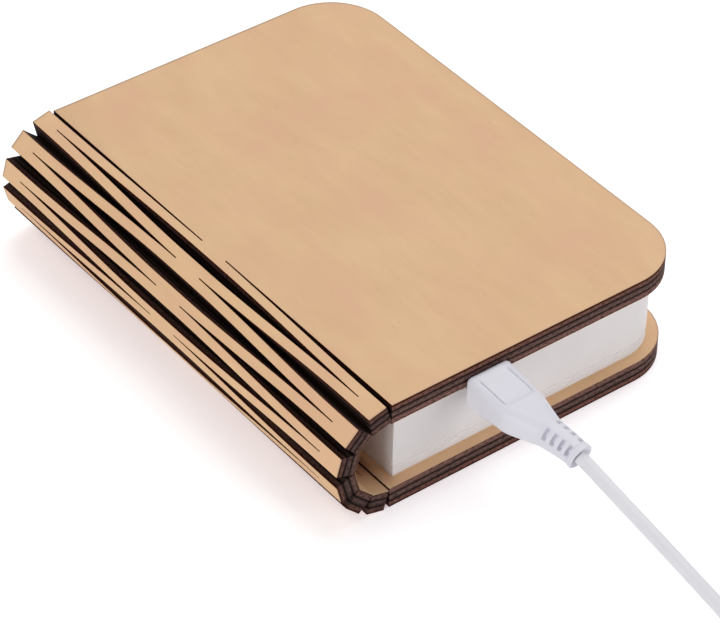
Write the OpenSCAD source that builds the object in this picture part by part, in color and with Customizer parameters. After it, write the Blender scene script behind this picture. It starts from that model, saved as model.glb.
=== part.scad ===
// Folding book lamp, lying closed on its back cover. Millimetres, +Z up.
// Two wooden covers and their slit spine are cut from one board. A light box fills the book, folded
// paper leaves lie between it and the back cover, and a charging lead is plugged into its near end.
// The book frame has x = 0 at the covers' spine edge, y = 0 at the near end and z = 0 under the book.

/* [Covers] */
// Cover depth, from the spine to the fore-edge
cover_w = 79.2; // [70:0.2:110]
// Cover length, along the spine
cover_h = 120; // [110:1:170]
// Thickness of the plywood board
board_t = 4.9; // [4:0.1:5.4]
// Radius of the rounded fore-edge corners
corner_r = 14; // [6:0.5:18]

/* [Slit spine] */
// Width of one twisting strip
strip_w = 2.15; // [2:0.05:2.3]
// Width of the laser cut between two strips
kerf_w = 0.25; // [0.2:0.05:0.4]
// Gap between two slats of the bent spine, at mid-thickness
slat_gap = 1.35; // [1.3:0.05:1.9]
// Uncut land at each end of a slat
end_land = 6.3; // [4:0.1:12]
// Length of the uncut bridges at mid-length
bridge_len = 8.3; // [5:0.1:14]
// Chamfer on the long edges of slats and bridges
edge_ease = 0.4; // [0.35:0.05:0.6]
// Gap that stands for the twist, where a slat's strips meet a bridge's
twist_gap = 0.4; // [0.3:0.1:1]

/* [Paper leaves] */
// Thickness of the paper
paper_t = 0.1; // [0.08:0.01:0.12]
// Air between two leaves of the closed book
leaf_gap = 0.05; // [0.04:0.01:0.08]
// How far the leaves stay back from the light box's faces
leaf_inset = 0.4; // [0.2:0.1:2]

/* [Light box] */
// How far the light box stays back from the cover's edges
box_inset = 2.8; // [2.6:0.1:5]
// Side wall of the light box
box_wall = 1.6; // [1.2:0.1:2]
// Floor of the light box
box_floor = 2; // [1.8:0.1:2.4]
// Adhesive tape between light box and cover
tape_t = 0.3; // [0.2:0.05:0.4]
// Frame of floor left round the window at the far end and the sides
window_frame = 9; // [8:0.5:12]
// Floor left before the window at the near end
window_near = 21; // [20:0.5:26]
// Ledge that the diffuser lies on
ledge_w = 2; // [1:0.1:2.5]
// Thickness of the diffuser
diffuser_t = 1.2; // [0.8:0.1:1.4]
// Clearance round the diffuser
diffuser_clear = 0.15; // [0.05:0.05:0.3]

/* [Lamp electronics] */
// Height of the light-emitting diode board above the floor
led_board_lift = 5.5; // [4.5:0.1:5.6]
// Thickness of both circuit boards
pcb_t = 1; // [0.8:0.1:1]
// Rows of diodes along the lamp
led_rows = 6; // [3:1:8]
// Diodes in each row
led_cols = 4; // [2:1:5]
// Thickness of the battery
battery_t = 3.8; // [3:0.1:3.8]
// Width of the battery
battery_w = 34; // [25:1:40]
// Length of the battery
battery_l = 50; // [35:1:55]
// Outer diameter of the screw posts
post_d = 4.6; // [4:0.1:5]
// Diameter of the board screws
screw_d = 2; // [1.6:0.1:2.2]

/* [Magnets] */
// Diameter of the cover magnets
magnet_d = 8; // [5:0.5:10]
// Thickness of the cover magnets
magnet_t = 2; // [1:0.1:2.2]
// Diameter of the magnet that works the switch
trigger_d = 5; // [3:0.5:6]
// Clearance round a magnet in its pocket
pocket_clear = 0.1; // [0.05:0.05:0.2]

/* [Charging plug] */
// Centre of the socket, measured from the spine edge of the cover
usb_x = 23.85; // [20:0.05:34]
// Centre of the socket, measured down from the cover's inner face
usb_drop = 1.9; // [1.8:0.05:2.1]
// Width of the plug's moulded grip
grip_w = 11; // [9:0.1:13]
// Height of the plug's moulded grip at its rear, by the covers
grip_h = 8.3; // [7:0.1:9]
// Height of the grip where its neck begins
grip_front_h = 6.9; // [6:0.1:8]
// Straight length of the grip
grip_len = 10.5; // [9:0.5:20]
// Length over which the grip narrows
neck_len = 8.7; // [5:0.1:12]
// Air between the grip and the end of the cover
grip_gap = 0.3; // [0.3:0.1:0.8]
// Depth of the shallow panel on top of the grip
panel_depth = 0.3; // [0.1:0.05:0.6]
// Diameter of the charging lead
cord_d = 3; // [2.6:0.1:3.2]

/* [Hidden] */
$fn = 48;
eps = 0.01;

// The spine: twelve hinge lines, each turning by one step, take the board round half a circle.
hinge_count = 12;
step = 180 / hinge_count;
slat_w = 2 * strip_w + kerf_w;
pitch = (slat_w + slat_gap) / 2;
spine_rise = pitch * sum([for (i = [1:hinge_count - 1]) sin(step * i)]);
closed_t = board_t + spine_rise;
cover_under = closed_t - board_t;
spine_reach = (kerf_w + pitch) / 2 + board_t / 2
    + pitch * sum([for (i = [1:hinge_count / 2 - 1]) cos(step * i)]);
edge_x = (spine_reach - cover_w) / 2;
mid_y = cover_h / 2;
bridge_y0 = mid_y - bridge_len / 2;
bridge_y1 = mid_y + bridge_len / 2;
turn_y = (end_land + bridge_y0) / 2;

// The paper: eleven folded leaves between two end sheets.
leaf_count = hinge_count - 1;
leaf_t = 2 * paper_t;
leaf_pitch = leaf_t + leaf_gap;
stack_t = 2 * paper_t + leaf_gap + leaf_count * leaf_pitch;

// The light box: its outline, its levels and its window.
box_x0 = box_inset;
box_x1 = cover_w - box_inset;
box_y0 = box_inset;
box_y1 = cover_h - box_inset;
box_r = corner_r - box_inset;
box_z0 = board_t + stack_t;
box_z1 = cover_under - tape_t;
floor_z = box_z0 + box_floor;
win_x0 = box_x0 + window_frame;
win_x1 = box_x1 - window_frame;
win_y0 = box_y0 + window_near;
win_y1 = box_y1 - window_frame;

// The boards: the light board stands over the window, the control board beside the near wall.
led_z = floor_z + led_board_lift;
led_margin = 0.8;
led_x0 = box_x0 + box_wall + led_margin;
led_x1 = box_x1 - box_wall - led_margin;
led_y0 = win_y0 + 2;
led_y1 = win_y1 - 3;
led_post_inset = 2.6;
led_posts = [for (x = [led_x0 + led_post_inset, led_x1 - led_post_inset],
    y = [led_y0 + 4, led_y1 - 4]) [x, y]];
led_size = [2.8, 3.5, 0.7];
usb_z = cover_under - usb_drop;
pcb_w = 27;
pcb_l = 14.5;
pcb_y0 = box_y0 + box_wall + 0.5;
pcb_z = usb_z - pcb_t / 2;
pcb_posts = [for (s = [-1, 1]) [usb_x + s * 10.2, pcb_y0 + pcb_l - 3.4]];
board_hole_d = screw_d + 0.4;
// Parts under the control board: x from the socket's middle, y from the board's edge, then the size.
chips = [[-7.4, 4.2, 4, 4, 1.8], [-5.6, 8.4, 4.4, 2.8, 1], [0, 10.6, 5, 3.2, 1.1],
    [5, 9.4, 2, 1.2, 0.8]];
wire_d = 0.9;
screw_head_d = screw_d + 1.7;
screw_head_h = 1;
screw_len = 5;
screw_fit = 0.04;
battery_x = (led_x0 + led_x1) / 2;
battery_y = (led_y0 + led_y1) / 2;
pad_t = 0.2;
battery_z = led_z + pcb_t + pad_t;

// The magnets: pairs by the fore-edge corners, and one under the switch on the control board.
magnet_x = cover_w - corner_r + 2;
magnet_y = corner_r + 6;
hall_size = [2.9, 1.3, 1.1];
hall_inset = [5.3, 3.6];
trigger_at = [usb_x + pcb_w / 2 - hall_inset.x, pcb_y0 + hall_inset.y];
pocket_extra = 0.1;
trigger_t = magnet_t;

// The plug: a steel shell through the near wall, its grip in front of the covers.
shell_w = 6.9;
shell_h = 1.8;
shell_wall = 0.3;
shell_clear = 0.1;
shell_reach = 6.5;
socket_wall = 0.25;
socket_len = 5.6;
socket_y0 = box_y0 + 0.4;
slot_clear = 0.2;
grip_r = 2;
grip_rear_lift = 0.3;
grip_lift = 0.7;
panel_size = [7.3, 9];
panel_r = 1.6;
panel_back = 1.4;
neck_d = 6.6;
neck_lift = 0.8;
relief_len = 8.5;
relief_d = 5.7;
relief_lean = 12.2;
relief_droop = 8.6;
grip_y = -grip_gap;
neck_y = grip_y - grip_len;
relief_y = neck_y - neck_len;

// The lead: points of the part's own frame along its middle, down to the table and to the coil.
cord_route = [[-7.1, -87.7, 20.05], [-6.8, -93, 18.7], [-6.6, -98, 17.4], [-6.4, -103, 16.2],
    [-6.2, -109, 14.8], [-6, -115, 13.4], [-5.8, -121, 11.9], [-5.6, -127, 10.4],
    [-5.5, -133, 8.8], [-5.4, -139, 7.1], [-5.4, -145, 5.3], [-5.6, -151, 3.6],
    [-5.9, -157, 2.2], [-6.2, -163, 1.5], [-6.4, -169, 1.5]];
tail_route = [[35.6, -172, 4.5], [35.6, -166, 4.5], [35.7, -160, 4.2], [36, -154, 4]];
coil_at = [14.6, -172];
coil_r = 16.5;
coil_turns = 4;
coil_layers = 2;

// The other end of the lead: a flat rectangular plug that lies beside the coil.
usb_a_x = 36;
usb_a_y = -154;
usb_a_z = 4;
usb_a_relief = 8;
usb_a_grip = [15.6, 8, 24];
usb_a_shell = [12, 4.5, 13.5];
usb_a_wall = 0.3;

function sum(v, i = 0) = i < len(v) ? v[i] + sum(v, i + 1) : 0;
// Hinge line i, as [x, z] of the book frame, counted from the front cover.
function hinge(i) = i <= 1 ? [-(kerf_w + pitch) / 2, closed_t - board_t / 2]
    : hinge(i - 1) + pitch * along(i - 1);
// Directions of the segment between hinge lines j and j + 1: along the board, and out of the book.
function along(j) = [-cos(step * j), -sin(step * j)];
function outward(j) = [-sin(step * j), cos(step * j)];
function unit(v) = v / norm(v);
// Places a 2D point [along, outward] on segment j.
function on_segment(j, q) = (hinge(j) + hinge(j + 1)) / 2 + q.x * along(j) + q.y * outward(j);

// Moves from the book frame to the part's frame, whose origin is under the middle of the book.
module book() translate([edge_x, -mid_y, 0]) children();

// A straight bar along Y with the given [x, z] section.
module along_y(y0, y1) translate([0, y1, 0]) rotate([90, 0, 0]) linear_extrude(y1 - y0) children();

// A plate outline with square spine corners and rounded fore-edge corners.
module plate_outline(x0, x1, y0, y1, r) {
    translate([x0, y0]) square([x1 - r - x0, y1 - y0]);
    translate([x0, y0 + r]) square([x1 - x0, y1 - y0 - 2 * r]);
    for (y = [y0 + r, y1 - r]) translate([x1 - r, y]) circle(r);
}

// A rectangle with round corners, centred.
module round_rect(w, h, r) {
    square([w - 2 * r, h], center = true);
    square([w, h - 2 * r], center = true);
    for (x = [-1, 1], y = [-1, 1]) translate([x * (w / 2 - r), y * (h / 2 - r)]) circle(r);
}

// Section of a slat or bridge, from a to b along the board, with chamfered long edges.
module segment_section(j, a, b) {
    h = board_t / 2;
    e = edge_ease;
    corners = [[a + e, h], [b - e, h], [b, h - e], [b, e - h], [b - e, -h], [a + e, -h],
        [a, e - h], [a, h - e]];
    polygon([for (q = corners) on_segment(j, q)]);
}

// A tube swept along points, with a flat cap at each end.
module sweep(points, d, sides) {
    last = len(points) - 1;
    dirs = [for (i = [0:last]) unit(points[min(i + 1, last)] - points[max(i - 1, 0)])];
    rings = [for (i = [0:last]) let (s = unit(cross(dirs[i], [0, 0, 1])), u = cross(s, dirs[i]))
        for (k = [0:sides - 1]) points[i] + d / 2 * (cos(360 * k / sides) * s + sin(360 * k / sides) * u)];
    walls = [for (i = [0:last - 1], k = [0:sides - 1]) let (n = (k + 1) % sides)
        [i * sides + k, (i + 1) * sides + k, (i + 1) * sides + n, i * sides + n]];
    caps = [[for (k = [0:sides - 1]) k], [for (k = [sides - 1:-1:0]) last * sides + k]];
    polyhedron(rings, concat(walls, caps), convexity = 6);
}

// One cover, with the outermost strip that its half bridge carries at mid-length.
module cover_board(z0) {
    translate([0, 0, z0]) linear_extrude(board_t) {
        plate_outline(0, cover_w, 0, cover_h, corner_r);
        translate([-kerf_w - strip_w, turn_y + twist_gap])
            square([strip_w, cover_h - 2 * (turn_y + twist_gap)]);
        translate([-kerf_w - strip_w, bridge_y0]) square([kerf_w + strip_w + eps, bridge_len]);
    }
}

module magnet_places() for (y = [magnet_y, cover_h - magnet_y]) translate([magnet_x, y, 0]) children();

module front_cover() color("burlywood") book() difference() {
    cover_board(cover_under);
    magnet_places() translate([0, 0, cover_under - eps])
        cylinder(d = magnet_d + 2 * pocket_clear, h = magnet_t + pocket_extra + eps);
}

module back_cover() color("burlywood") book() difference() {
    cover_board(0);
    magnet_places() translate([0, 0, board_t - magnet_t - pocket_extra])
        cylinder(d = magnet_d + 2 * pocket_clear, h = magnet_t + pocket_extra + eps);
    translate([trigger_at.x, trigger_at.y, board_t - trigger_t - pocket_extra])
        cylinder(d = trigger_d + 2 * pocket_clear, h = trigger_t + pocket_extra + eps);
}

// A slot through segment j, half as wide as given to either side of its middle.
module segment_slot(j, half_w, y0, y1) along_y(y0, y1) polygon([for (q = [[-1, -1], [1, -1],
    [1, 1], [-1, 1]]) on_segment(j, [q.x * half_w, q.y * board_t])]);

// A slat: at either end of the book, two strips that an uncut land joins. Each strip twists along
// its length, which one step half-way to the bridges stands for.
module slat(k) color("tan") book() {
    j = 2 * k - 1;
    difference() {
        along_y(0, cover_h) segment_section(j, -slat_w / 2, slat_w / 2);
        segment_slot(j, kerf_w / 2, end_land, cover_h - end_land);
        segment_slot(j, slat_w, turn_y, cover_h - turn_y);
    }
}

// A bridge: the uncut block at mid-length that joins two neighbouring slats, with its strips.
module bridge(k) color("tan") book() {
    j = 2 * k;
    difference() {
        along_y(turn_y + twist_gap, cover_h - turn_y - twist_gap)
            segment_section(j, -slat_w / 2, slat_w / 2);
        segment_slot(j, kerf_w / 2, turn_y, bridge_y0);
        segment_slot(j, kerf_w / 2, bridge_y1, cover_h - turn_y);
    }
}

// A sheet of paper with the outline of the light box, less an inset.
module sheet(z, t, inset) translate([0, 0, z]) linear_extrude(t)
    plate_outline(box_x0 + inset, box_x1 - inset, box_y0 + inset, box_y1 - inset, box_r - inset);

module front_end_sheet() color("whitesmoke") book() sheet(box_z0 - paper_t, paper_t, 0);

module back_end_sheet() color("whitesmoke") book() sheet(board_t, paper_t, 0);

// Leaf k, folded flat, counted down from the light box.
module leaf(k) color("white") book()
    sheet(box_z0 - paper_t - k * leaf_pitch, leaf_t, leaf_inset);

module box_outline(inset) plate_outline(box_x0 + inset, box_x1 - inset, box_y0 + inset,
    box_y1 - inset, box_r - inset);

module post(at, z1) translate([at.x, at.y, floor_z - eps]) cylinder(d = post_d, h = z1 - floor_z + eps);

module light_box_tray() color("ghostwhite") book() difference() {
    union() {
        difference() {
            translate([0, 0, box_z0]) linear_extrude(box_z1 - box_z0) box_outline(0);
            translate([0, 0, floor_z]) linear_extrude(box_z1 - floor_z + eps) box_outline(box_wall);
        }
        for (p = led_posts) post(p, led_z);
        for (p = pcb_posts) post(p, pcb_z);
    }
    translate([win_x0, win_y0, box_z0 - eps]) cube([win_x1 - win_x0, win_y1 - win_y0, box_floor]);
    translate([win_x0 - ledge_w, win_y0 - ledge_w, floor_z - diffuser_t])
        cube([win_x1 - win_x0 + 2 * ledge_w, win_y1 - win_y0 + 2 * ledge_w, diffuser_t + eps]);
    for (p = led_posts) screw_hole(p, led_z);
    for (p = pcb_posts) screw_hole(p, pcb_z);
    translate([usb_x, 0, usb_z]) along_y(box_y0 - eps, box_y0 + box_wall + eps)
        square([socket_outer_w() + 2 * slot_clear, socket_outer_h() + 2 * slot_clear], center = true);
}

function socket_outer_w() = shell_w + 2 * shell_clear + 2 * socket_wall;
function socket_outer_h() = shell_h + 2 * shell_clear + 2 * socket_wall;

module screw_hole(at, z1) translate([at.x, at.y, z1 - screw_len]) cylinder(d = screw_d, h = screw_len + eps);

module mounting_tape() color("gainsboro") book() translate([0, 0, box_z1])
    linear_extrude(tape_t) difference() {
        box_outline(0);
        box_outline(box_wall);
    }

module diffuser() color("white") book() {
    grow = ledge_w - diffuser_clear;
    translate([win_x0 - grow, win_y0 - grow, floor_z - diffuser_t])
        cube([win_x1 - win_x0 + 2 * grow, win_y1 - win_y0 + 2 * grow, diffuser_t]);
}

module led_board() color("white") book() difference() {
    translate([led_x0, led_y0, led_z]) cube([led_x1 - led_x0, led_y1 - led_y0, pcb_t]);
    for (p = led_posts) translate([p.x, p.y, led_z - eps]) cylinder(d = board_hole_d, h = pcb_t + 2 * eps);
}

// The diodes hang under their board in even rows above the window.
module leds() color("lightyellow") book()
    for (i = [0:led_cols - 1], k = [0:led_rows - 1])
        translate([win_x0 + (win_x1 - win_x0) * (i + 0.5) / led_cols,
            led_y0 + (led_y1 - led_y0) * (k + 0.5) / led_rows, led_z - led_size.z / 2])
            cube(led_size, center = true);

// Small pan-head screws that hold both boards on the posts.
module board_screw(at, z) translate([at.x, at.y, z]) {
    translate([0, 0, -(screw_len - 0.5)]) cylinder(d = screw_d - screw_fit, h = screw_len - 0.5 + eps);
    cylinder(d = screw_head_d, h = screw_head_h);
}

module board_screws() color("silver") book() {
    for (p = led_posts) board_screw(p, led_z + pcb_t);
    for (p = pcb_posts) board_screw(p, pcb_z + pcb_t);
}

module battery_block(z, t, inset)
    translate([battery_x, battery_y, z]) linear_extrude(t)
        round_rect(battery_w - 2 * inset, battery_l - 2 * inset, 2);

module battery_pad() color("dimgray") book() battery_block(led_z + pcb_t, pad_t, 4);

module battery() color("silver") book() battery_block(battery_z, battery_t, 0);

module control_board() color("seagreen") book() difference() {
    translate([usb_x - pcb_w / 2, pcb_y0, pcb_z]) cube([pcb_w, pcb_l, pcb_t]);
    for (p = pcb_posts) translate([p.x, p.y, pcb_z - eps]) cylinder(d = board_hole_d, h = pcb_t + 2 * eps);
    translate([usb_x, pcb_y0, usb_z]) cube([socket_outer_w() + slot_clear,
        2 * (socket_y0 + socket_len - pcb_y0 + slot_clear), 2 * pcb_t], center = true);
}

// Charging chip, coil and capacitors under the control board.
module controller_chips() color("dimgray") book() {
    for (c = chips)
        translate([usb_x + c[0] - c[2] / 2, pcb_y0 + c[1] - c[3] / 2, pcb_z - c[4]])
            cube([c[2], c[3], c[4]]);
}

// The switch: a magnetic sensor that feels the magnet in the back cover.
module hall_sensor() color("black") book()
    translate([trigger_at.x, trigger_at.y, pcb_z - hall_size.z / 2]) cube(hall_size, center = true);

// Micro socket set into the control board, with its contact tongue.
module usb_socket() color("silver") book() translate([usb_x, 0, usb_z]) {
    difference() {
        along_y(socket_y0, socket_y0 + socket_len) square([socket_outer_w(), socket_outer_h()], center = true);
        along_y(socket_y0 - eps, socket_y0 + socket_len - 0.6)
            square([shell_w + 2 * shell_clear, shell_h + 2 * shell_clear], center = true);
    }
    along_y(socket_y0 + 0.8, socket_y0 + socket_len - 0.3) square([3.7, 0.6], center = true);
}

// Two thin leads from the battery to the control board.
module battery_leads() color("firebrick") book() for (s = [0, 1]) {
    x0 = battery_x - 8 + 2 * s;
    x1 = usb_x - 2 + 3 * s;
    y0 = battery_y - battery_l / 2;
    y1 = pcb_y0 + pcb_l;
    z0 = battery_z + battery_t / 2;
    sweep([[x0, y0, z0], [x0, y0 - 3, z0], [(x0 + x1) / 2, (y0 + y1) / 2, usb_z], [x1, y1 + 2, usb_z],
        [x1, y1, usb_z]], wire_d, 8);
}

// Two thin leads from the light board to the control board.
module led_leads() color("white") book() for (s = [0, 1]) {
    x = usb_x + 7 + 1.6 * s;
    y1 = pcb_y0 + pcb_l;
    z0 = led_z + pcb_t / 2;
    sweep([[x, led_y0, z0], [x, led_y0 - 1.5, z0], [x, y1 + 1.5, usb_z], [x, y1, usb_z]], wire_d, 8);
}

module magnet_disc(z, d, t) translate([0, 0, z]) cylinder(d = d, h = t);

module front_cover_magnets() color("lightgray") book()
    magnet_places() magnet_disc(cover_under + pocket_extra, magnet_d, magnet_t);

module back_cover_magnets() color("lightgray") book()
    magnet_places() magnet_disc(board_t - magnet_t - pocket_extra, magnet_d, magnet_t);

module trigger_magnet() color("lightgray") book()
    translate([trigger_at.x, trigger_at.y, 0])
        magnet_disc(board_t - trigger_t - pocket_extra, trigger_d, trigger_t);

// The plug's steel shell, open at its tip.
module plug_shell() color("silver") book() translate([usb_x, 0, usb_z]) difference() {
    along_y(grip_y - 2, grip_y + shell_reach) round_rect(shell_w, shell_h, 0.3);
    along_y(grip_y + 1, grip_y + shell_reach + eps)
        square([shell_w - 2 * shell_wall, shell_h - 2 * shell_wall], center = true);
}

// A section of the grip at y, h high, whose middle stands above the socket's by lift.
module grip_section(y, h, lift) along_y(y, y + eps) translate([0, lift])
    round_rect(grip_w, h, grip_r, $fn = 32);

// The moulded grip, with a shallow panel on top and a neck that narrows to the relief.
module plug_grip() color("whitesmoke") book() translate([usb_x, 0, usb_z]) difference() {
    union() {
        hull() {
            grip_section(grip_y - eps, grip_h, grip_rear_lift);
            grip_section(neck_y, grip_front_h, grip_lift);
        }
        hull() {
            grip_section(neck_y, grip_front_h, grip_lift);
            along_y(relief_y, relief_y + eps) translate([0, neck_lift]) circle(d = neck_d, $fn = 32);
        }
    }
    along_y(grip_y - 2, grip_y + eps) square([shell_w, shell_h], center = true);
    translate([0, grip_y - panel_back - panel_size.y / 2,
        (grip_rear_lift + grip_lift) / 2 + (grip_h + grip_front_h) / 4 - panel_depth])
            linear_extrude(2 * panel_depth) round_rect(panel_size.x, panel_size.y, panel_r);
}

// The ribbed relief, leaning and drooping the way the lead pulls it.
module plug_relief() color("whitesmoke") book() translate([usb_x, relief_y, usb_z + neck_lift])
    rotate([90 + relief_droop, 0, relief_lean]) difference() {
        cylinder(d1 = neck_d - 0.4, d2 = relief_d, h = relief_len);
        for (i = [0:3], s = [-1, 1]) translate([s * relief_d / 2, 0, 1.1 + 1.8 * i])
            cube([1.4, 3.4, 0.8], center = true);
    }

module charging_cord() color("whitesmoke") sweep(cord_route, cord_d, 8);

module cord_tail() color("whitesmoke") sweep(tail_route, cord_d, 8);

// The wound length: two layers of turns, each a lead's width from the next.
module cord_coil() color("whitesmoke") translate([coil_at.x, coil_at.y, 0])
    rotate_extrude() translate([coil_r - coil_turns * cord_d / 2, 0])
        square([coil_turns * cord_d, coil_layers * cord_d]);

module usb_a_grip() color("whitesmoke") translate([usb_a_x, usb_a_y, usb_a_z]) {
    rotate([-90, 0, 0]) cylinder(d1 = cord_d + 1.2, d2 = neck_d, h = usb_a_relief + eps);
    along_y(usb_a_relief, usb_a_relief + usb_a_grip.z) round_rect(usb_a_grip.x, usb_a_grip.y, grip_r);
}

module usb_a_shell() color("silver") translate([usb_a_x, usb_a_y + usb_a_relief + usb_a_grip.z, usb_a_z])
    difference() {
        along_y(0, usb_a_shell.z) square([usb_a_shell.x, usb_a_shell.y], center = true);
        along_y(1, usb_a_shell.z + eps)
            square([usb_a_shell.x - 2 * usb_a_wall, usb_a_shell.y - 2 * usb_a_wall], center = true);
    }

module usb_a_tongue() color("white") translate([usb_a_x, usb_a_y + usb_a_relief + usb_a_grip.z, usb_a_z])
    translate([0, 0, usb_a_shell.y / 2 - usb_a_wall - 1]) along_y(1, usb_a_shell.z - 0.5)
        square([usb_a_shell.x - 2 * usb_a_wall, 2], center = true);

front_cover();
back_cover();
slat(1);  // slat_1
slat(2);  // slat_2
slat(3);  // slat_3
slat(4);  // slat_4
slat(5);  // slat_5
slat(6);  // slat_6
bridge(1);  // bridge_1
bridge(2);  // bridge_2
bridge(3);  // bridge_3
bridge(4);  // bridge_4
bridge(5);  // bridge_5
front_end_sheet();
leaf(1);  // leaf_1
leaf(2);  // leaf_2
leaf(3);  // leaf_3
leaf(4);  // leaf_4
leaf(5);  // leaf_5
leaf(6);  // leaf_6
leaf(7);  // leaf_7
leaf(8);  // leaf_8
leaf(9);  // leaf_9
leaf(10);  // leaf_10
leaf(11);  // leaf_11
back_end_sheet();
light_box_tray();
mounting_tape();
diffuser();
led_board();
leds();
board_screws();
battery_pad();
battery();
control_board();
controller_chips();
hall_sensor();
usb_socket();
battery_leads();
led_leads();
front_cover_magnets();
back_cover_magnets();
trigger_magnet();
plug_shell();
plug_grip();
plug_relief();
charging_cord();
cord_coil();
cord_tail();
usb_a_grip();
usb_a_shell();
usb_a_tongue();
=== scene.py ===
from math import cos, degrees, dist, hypot, pi, radians, sin, sqrt

import bmesh
import bpy
from mathutils import Matrix, Vector


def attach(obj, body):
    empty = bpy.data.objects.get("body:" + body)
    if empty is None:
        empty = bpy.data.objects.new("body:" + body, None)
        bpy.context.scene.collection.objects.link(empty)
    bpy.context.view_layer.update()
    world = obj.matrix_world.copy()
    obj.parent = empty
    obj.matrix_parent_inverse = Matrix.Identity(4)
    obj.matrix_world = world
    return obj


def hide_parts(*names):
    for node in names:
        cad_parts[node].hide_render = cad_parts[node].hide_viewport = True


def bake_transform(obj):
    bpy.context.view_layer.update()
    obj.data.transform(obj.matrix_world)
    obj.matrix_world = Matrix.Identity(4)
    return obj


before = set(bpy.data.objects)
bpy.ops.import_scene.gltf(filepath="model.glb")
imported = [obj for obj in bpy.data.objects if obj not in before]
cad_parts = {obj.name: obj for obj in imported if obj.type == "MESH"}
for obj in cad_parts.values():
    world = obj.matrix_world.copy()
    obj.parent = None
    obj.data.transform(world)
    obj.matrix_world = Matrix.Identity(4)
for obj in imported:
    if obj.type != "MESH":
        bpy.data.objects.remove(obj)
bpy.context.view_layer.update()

# ------------------
# The view: a long lens looks down over the slit spine and the near end, where the lead is
# plugged in. The camera leans a little to one side, as a hand-set tripod does.
view_turn, view_height, view_lean = (radians(a) for a in (-38.195, 39.975, 1.236))
camera_at, lens_length, film_width = (-0.35327, -0.45657, 0.47874), 173.4, 36
view_back = Vector((sin(view_turn) * cos(view_height),
                    -cos(view_turn) * cos(view_height), sin(view_height)))
view_right = Vector((cos(view_turn), sin(view_turn), 0))
view_up = view_back.cross(view_right)
lens_right = cos(view_lean) * view_right + sin(view_lean) * view_up
lens_up = cos(view_lean) * view_up - sin(view_lean) * view_right


def into_scene(name, data):
    """A new object of the scene, made of a mesh, a curve, a camera or a light."""
    thing = bpy.data.objects.new(name, data)
    bpy.context.scene.collection.objects.link(thing)
    return thing


book_view = bpy.data.cameras.new("book_view")
book_view.lens = lens_length
book_view.sensor_fit = "HORIZONTAL"
book_view.sensor_width = film_width
camera = into_scene("book_view", book_view)
camera.matrix_world = Matrix.Translation(camera_at) @ Matrix(
    (lens_right, lens_up, view_back)).transposed().to_4x4()
bpy.context.scene.camera = camera

# ------------------
# The charging lead: a soft round white lead, 3 mm thick. It leaves the plug's relief, sinks to
# the table and is wound away in two layers of turns. Its jacket is extruded, with a faint orange
# peel, and is a little more glossy than the plugs that are moulded onto its ends.


def paint(red, green, blue):
    """A printed colour, 0 to 255, as the light that it reflects."""
    return tuple(((c / 255 + 0.055) / 1.055) ** 2.4 if c > 10.3 else c / 3294.6
                 for c in (red, green, blue)) + (1,)


def feed(tree, node, inputs):
    """Gives each named input of a node its value, or links it to another node's output."""
    for socket, source in inputs.items():
        if isinstance(source, bpy.types.NodeSocket):
            tree.links.new(source, node.inputs[socket])
        else:
            node.inputs[socket].default_value = source


def add_node(tree, kind, inputs, **settings):
    """A new node with its settings and its inputs."""
    node = tree.nodes.new("ShaderNode" + kind)
    for setting, value in settings.items():
        setattr(node, setting, value)
    feed(tree, node, inputs)
    return node


def new_finish(name, roughness, specular=0.5):
    """A material, the tree of its nodes, and its shader."""
    finish = bpy.data.materials.new(name)
    finish.use_nodes = True
    shader = finish.node_tree.nodes["Principled BSDF"]
    shader.inputs["Roughness"].default_value = roughness
    shader.inputs["Specular IOR Level"].default_value = specular
    return finish, finish.node_tree, shader


def group_with(name, inputs, outputs):
    """An empty node group with the named inputs and outputs, its inputs, and its end node."""
    group = bpy.data.node_groups.new(name, "ShaderNodeTree")
    for kind, sockets in (("INPUT", inputs), ("OUTPUT", outputs)):
        for socket, socket_type in sockets.items():
            group.interface.new_socket(socket, in_out=kind, socket_type="NodeSocket" + socket_type)
    return group, group.nodes.new("NodeGroupInput").outputs, group.nodes.new("NodeGroupOutput")


def place_group(tree, group, **inputs):
    """The outputs of one use of a node group, with its own inputs."""
    return add_node(tree, "Group", inputs, node_tree=group).outputs


def over_piece(tree):
    """Places on a piece by its own three directions, in metres."""
    return tree.nodes.new("ShaderNodeTexCoord").outputs["Object"]


def noise_at(tree, where, scale, detail, roughness):
    """A noise texture's value over the given coordinates."""
    return add_node(tree, "TexNoise", {"Vector": where, "Scale": scale, "Detail": detail,
                                       "Roughness": roughness}).outputs["Fac"]


def ramp_over(tree, value, stops):
    """A colour that changes with a value, through the given places and colours."""
    ramp = add_node(tree, "ValToRGB", {"Fac": value})
    band = ramp.color_ramp
    while len(band.elements) < len(stops):
        band.elements.new(0.5)
    for element, (at, colour) in zip(band.elements, stops):
        element.position = at
        element.color = colour
    return ramp.outputs["Color"]


def two_toned(tree, value, dark, light, end=0.7):
    """A colour between two near ones, by a value."""
    return ramp_over(tree, value, [(0.3, paint(*dark)), (end, paint(*light))])


def ranged(tree, value, before=(0, 1), after=(0, 1), steps="LINEAR"):
    """A value whose range before is spread over the range after."""
    return add_node(tree, "MapRange", {"Value": value, "From Min": before[0], "From Max": before[1],
                                       "To Min": after[0], "To Max": after[1]},
                    interpolation_type=steps).outputs["Result"]


def raised(tree, height, strength, depth):
    """The bump of a surface whose grain is as deep as given, in metres."""
    return add_node(tree, "Bump", {"Height": height, "Strength": strength,
                                   "Distance": depth}).outputs["Normal"]


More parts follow.
